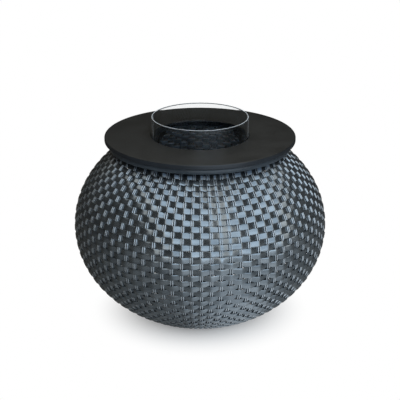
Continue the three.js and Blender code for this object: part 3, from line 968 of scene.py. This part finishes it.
# Shares of a fastener's head radius, or of its head's height
SHANK_SHARE = 0.55
SOCKET_SHARE = 0.5
SOCKET_DEPTH_SHARE = 0.6
RIVET_DOME_SHARE = 0.39
RIVET_DOME_POINTS = 9
HEAD_EDGE_SHARE = 1 / 4
EDGE_HEAD_HEIGHT = 0.0025
COLLAR_HEAD_HEIGHT = 0.0018
FASTENER_SEGMENTS = 48
RECESS_CLEARANCE = 0.0003
RECESS_OVERRUN = 0.002
RECESS_SEGMENTS = 40
SHARP_ANGLE = math.radians(35)


def fastener(node):
    """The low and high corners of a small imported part, its centre in plan and its widest radius."""
    points = node_points(node)
    low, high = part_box(node)
    centre = ((low.x + high.x) / 2, (low.y + high.y) / 2)
    return low, high, centre, float(np.hypot(points[:, 0] - centre[0], points[:, 1] - centre[1]).max())


def head_height(node):
    return EDGE_HEAD_HEIGHT if node.startswith("edge") else COLLAR_HEAD_HEIGHT


def screws():
    """Socket-headed screws, heads down."""
    for node in nodes_named("edge_screw_") + nodes_named("collar_screw_"):
        low, high, centre, head = fastener(node)
        thick = head_height(node)
        shank, socket, rounding = head * SHANK_SHARE, head * SOCKET_SHARE, thick * HEAD_EDGE_SHARE
        floor = low.z + thick * SOCKET_DEPTH_SHARE
        outline = [(0.0, floor), (socket, floor), (socket, low.z),
                   *corner(head, low.z, rounding, 3), *corner(head, low.z + thick, rounding, 0),
                   (shank, low.z + thick), (shank, high.z), (0.0, high.z)]
        made = revolve(node + "_body", outline, FASTENER_SEGMENTS, centre, hexagon_warp(socket))
        dress(made, node)


def rivets():
    """The round-headed rivets of the shelf."""
    for node in nodes_named("shelf_rivet_"):
        low, high, centre, head = fastener(node)
        shank, thick = head * SHANK_SHARE, head * RIVET_DOME_SHARE
        dome = [(head * math.cos(a), high.z - thick + thick * math.sin(a))
                for a in np.linspace(0, math.pi / 2, RIVET_DOME_POINTS)]
        outline = [(0.0, low.z), (shank, low.z), (shank, high.z - thick), *dome[:-1], (0.0, high.z)]
        dress(revolve(node + "_head", outline, FASTENER_SEGMENTS, centre), node)


def recesses(piece, start):
    """Drills the screw heads' recesses into the underside of a band."""
    bottom = min(point[2] for point in piece.bound_box) - RECESS_OVERRUN
    for node in nodes_named(start):
        low, _, centre, head = fastener(node)
        head += RECESS_CLEARANCE
        roof = low.z + head_height(node) + RECESS_CLEARANCE
        outline = [(0.0, bottom), (head, bottom), (head, roof), (0.0, roof)]
        drill = revolve(node + "_drill", outline, RECESS_SEGMENTS, centre)
        cut = piece.modifiers.new("recess", "BOOLEAN")
        cut.operation, cut.solver, cut.object = "DIFFERENCE", "EXACT", drill
        drilled = piece.evaluated_get(bpy.context.evaluated_depsgraph_get())
        shape = bpy.data.meshes.new_from_object(drilled)
        piece.modifiers.clear()
        piece.data = shape
        bpy.data.objects.remove(drill)
    piece.data.set_sharp_from_angle(angle=SHARP_ANGLE)


GLIDE_ROUNDING = 0.0012
GLIDE_CLEARANCE = 0.0003
GLIDE_RINGS = 12
GLIDE_SEGMENTS = 64
TOP_TOLERANCE = 1e-6


def foot_glides():
    """Feet with a rounded edge, whose tops are saddled to the base ring."""
    for node in nodes_named("foot_glide_"):
        low, high, centre, _ = fastener(node)
        outer = (high.x - low.x) / 2
        top = SKIN_BOTTOM - GLIDE_CLEARANCE

        def saddle(points):
            aside = np.abs(np.hypot(points[:, 0] + centre[0], points[:, 1] + centre[1]) - RING_RADIUS)
            room = (RING_TUBE + GLIDE_CLEARANCE) ** 2 - aside ** 2
            under = RING_HEIGHT - np.sqrt(np.clip(room, 0, None))
            raised = points[:, 2] > top - TOP_TOLERANCE
            points[raised, 2] = np.minimum(top, under)[raised]

        outline = [(0.0, 0.0), *corner(outer, 0.0, GLIDE_ROUNDING, 3),
                   (outer, top - GLIDE_CLEARANCE),
                   *((outer * ring / GLIDE_RINGS, top) for ring in range(GLIDE_RINGS, 0, -1)),
                   (0.0, top)]
        dress(revolve(node + "_pad", outline, GLIDE_SEGMENTS, centre, saddle), node)


BORDER_TWIST = 0.0011
BORDER_TURNS_PER_PAIR = 0.5
BORDER_STEPS_PER_PAIR = 12
TOP_BORDERS = 4


def borders():
    """Rows of two strands twisted round each other, at the base's edge and up to the cuff."""
    sweeps = Sweeps()
    steps = STAKE_PAIRS * BORDER_STEPS_PER_PAIR
    azimuth = np.arange(steps) / steps * TURN
    margin = BORDER_RADIUS + BORDER_TWIST
    top_rows = np.linspace(edges[0] + BORDER_RADIUS, SKIN_LENGTH - margin, TOP_BORDERS)
    for row, length in enumerate((margin, *top_rows)):
        for strand in range(2):
            turn = azimuth * STAKE_PAIRS * BORDER_TURNS_PER_PAIR + (strand + row / 2) * math.pi
            depth = STAKE_DEPTH - BORDER_TWIST * np.cos(turn)
            points, up, out = on_skin(length + BORDER_TWIST * np.sin(turn), azimuth, depth)
            sweeps.add(points, up, out, BORDER_RADIUS, BORDER_RADIUS, round_section(STRAND_SIDES), True,
                       lane=strand * STAKE_SPACING)
    return sweeps.build("borders")


BELLY_TUBE_SIDES = 16
SHELF_RING_ROUNDING = 0.0015

build_weave()
tray_plate()
recesses(tube_ring("edge_band", "edge_ring"), "edge_screw_")
tube_ring("top_hoop_tube", "top_hoop")
tube_ring("belly_hoop_tube", "belly_hoop", BELLY_TUBE_SIDES)
tube_ring("base_ring_tube", "base_ring")
recesses(collar(), "collar_screw_")
clear_bucket()
ribs()
flat_ring("shelf_ring_bar", "shelf_ring", SHELF_RING_ROUNDING)
shelf_dish()
ribbed_mat()
shelf_arms()
tray_pads()
screws()
rivets()
foot_glides()

# Camera: its place was fitted to the photograph's outlines
CAMERA_AIM = Vector((0, 0, 0.2194))
CAMERA_DISTANCE = 3.0
CAMERA_ELEVATION = math.radians(21.777)
CAMERA_LIFT = math.radians(1.11)
CAMERA_LENS = 112.17
CAMERA_SENSOR = 36.0


def add_camera():
    data = bpy.data.cameras.new("camera")
    data.lens = CAMERA_LENS
    data.sensor_width = CAMERA_SENSOR
    made = placed("camera", data)
    back = Vector((0, -math.cos(CAMERA_ELEVATION), math.sin(CAMERA_ELEVATION)))
    made.location = CAMERA_AIM + back * CAMERA_DISTANCE
    made.rotation_euler = (math.pi / 2 - CAMERA_ELEVATION + CAMERA_LIFT, 0, 0)
    bpy.context.scene.camera = made


COOL, NEUTRAL, WARM = (0.80, 0.98, 1.17), (0.97, 0.98, 0.96), (1.0, 0.98, 0.88)
# Name, azimuth and elevation in degrees, distance, width, height, brightness and tint
LAMPS = [
    ("key_centre", 23, 26, 2.2, 1.0, 2.6, 1.30, COOL),
    ("key_middle", 23, 26, 2.2, 2.0, 2.6, 1.25, COOL),
    ("key_wide", 23, 26, 2.2, 3.2, 2.6, 1.00, NEUTRAL),
    ("top_middle", 23, 74, 2.2, 1.4, 1.4, 1.10, COOL),
    ("top_wide", 23, 74, 2.2, 2.8, 1.4, 0.75, NEUTRAL),
    ("back_fill", 190, 58, 2.4, 2.4, 1.2, 0.75, WARM),
]


def area_light(name, azimuth, elevation, distance, width, height, radiance, tint):
    """A soft rectangular lamp that faces the globe, given by its brightness as seen from there."""
    data = bpy.data.lights.new(name, "AREA")
    data.shape = "RECTANGLE"
    data.size, data.size_y = width, height
    data.energy = radiance * math.pi * width * height
    data.color = tint
    made = placed(name, data)
    around, above = math.radians(azimuth), math.radians(elevation)
    level = math.cos(above)
    towards = Vector((math.sin(around) * level, -math.cos(around) * level, math.sin(above)))
    made.location = Vector((0, 0, GLOBE_CENTRE)) + towards * distance
    made.rotation_mode = "QUATERNION"
    made.rotation_quaternion = towards.to_track_quat("Z", "Y")


STUDIO = colour(0.034, 0.031, 0.026)


def add_world():
    """A dim studio round a white background."""
    world = bpy.data.worlds.new("studio")
    bpy.context.scene.world = world
    made = Graph(world)
    made.nodes.clear()
    path = made.node("ShaderNodeLightPath").outputs
    seen = made.maths("MAXIMUM", path["Is Camera Ray"], made.passed_through(path))
    surface = made.mixed(seen, made.shader("ShaderNodeBackground", Color=STUDIO),
                         made.shader("ShaderNodeBackground", Color=WHITE))
    made.node("ShaderNodeOutputWorld", {"Surface": surface})


# The floor, and the radii between which the object's shadow on it fades out
FLOOR_HALF = 6.0
SHADOW_INNER = 0.06
SHADOW_OUTER = 0.27
SHADOW_GLOW = 0.4
# Seen through the bucket, the floor is white from this radius on and dark nearer
SEEN_THROUGH = 1.71
SEEN_DARK = colour(0.07, 0.08, 0.10)
# The floor as the object reflects it: lit on the key lamps' side, fading round to the back
REFLECTED_SECTOR = math.radians(24)
REFLECTED_INNER = math.radians(4)
REFLECTED_OUTER = math.radians(46)
REFLECTED_TAIL = math.radians(125)
REFLECTED_TAIL_SHARE = 0.26
REFLECTED_LIT = colour(0.65, 0.72, 0.79)
REFLECTED_DIM = colour(0.056, 0.053, 0.046)


def add_floor():
    """Pale paper: white to the camera, with the object's shadow, and lit in front as reflected."""
    mesh = bpy.data.meshes.new("floor")
    ends = (-FLOOR_HALF, FLOOR_HALF)
    mesh.from_pydata([(x, y, 0) for x in ends for y in ends], [], [(0, 2, 3, 1)])
    floor = placed("floor", mesh)
    made = Finish("floor_paper", Roughness=0.9)

    def fade(value, first, last, start, end):
        return made.span(value, start, end, first, last, interpolation_type="SMOOTHSTEP")

    grain = made.noise(made.place(), scale=300)
    paper = made.blend(made.span(grain, 0, 1), colour(0.82, 0.82, 0.82), colour(0.84, 0.84, 0.84))
    path = made.node("ShaderNodeLightPath").outputs
    made.finish(Base_Color=made.blend(path["Is Transmission Ray"], paper, SEEN_DARK))
    place = made.node("ShaderNodeTexCoord").outputs["Object"]
    away = made.node("ShaderNodeVectorMath", {0: place}, operation="LENGTH").outputs["Value"]
    split = made.node("ShaderNodeSeparateXYZ", {0: place}).outputs
    azimuth = made.maths("ARCTAN2", split[0], made.maths("MULTIPLY", split[1], -1.0))
    aside = made.maths("ABSOLUTE", made.maths("SUBTRACT", azimuth, REFLECTED_SECTOR))
    sector = made.maths("MAXIMUM", fade(aside, REFLECTED_INNER, REFLECTED_OUTER, 1.0, 0.0),
                        fade(aside, REFLECTED_INNER, REFLECTED_TAIL, REFLECTED_TAIL_SHARE, 0.0))
    seen = made.maths("MULTIPLY", path["Is Camera Ray"], fade(away, SHADOW_INNER, SHADOW_OUTER, 0.0, 1.0))
    beyond = made.maths("GREATER_THAN", away, SEEN_THROUGH)
    through = made.maths("MULTIPLY", made.passed_through(path), beyond)
    reflection = made.maths("SUBTRACT", path["Is Glossy Ray"], path["Is Transmission Ray"])
    white = made.shader("ShaderNodeEmission", Color=WHITE, Strength=1.0)
    glow = made.shader("ShaderNodeEmission", Color=made.blend(sector, REFLECTED_DIM, REFLECTED_LIT),
                       Strength=fade(away, SHADOW_INNER, SHADOW_OUTER, SHADOW_GLOW, 1.0))
    surface = made.mixed(reflection, made.surface.outputs[0], glow)
    surface = made.mixed(made.maths("MAXIMUM", seen, through), surface, white)
    made.feed(made.nodes["Material Output"].inputs["Surface"], surface)
    mesh.materials.append(made.material)


add_camera()
for lamp in LAMPS:
    area_light(*lamp)
add_world()
add_floor()
bpy.context.scene.view_settings.view_transform = "Standard"
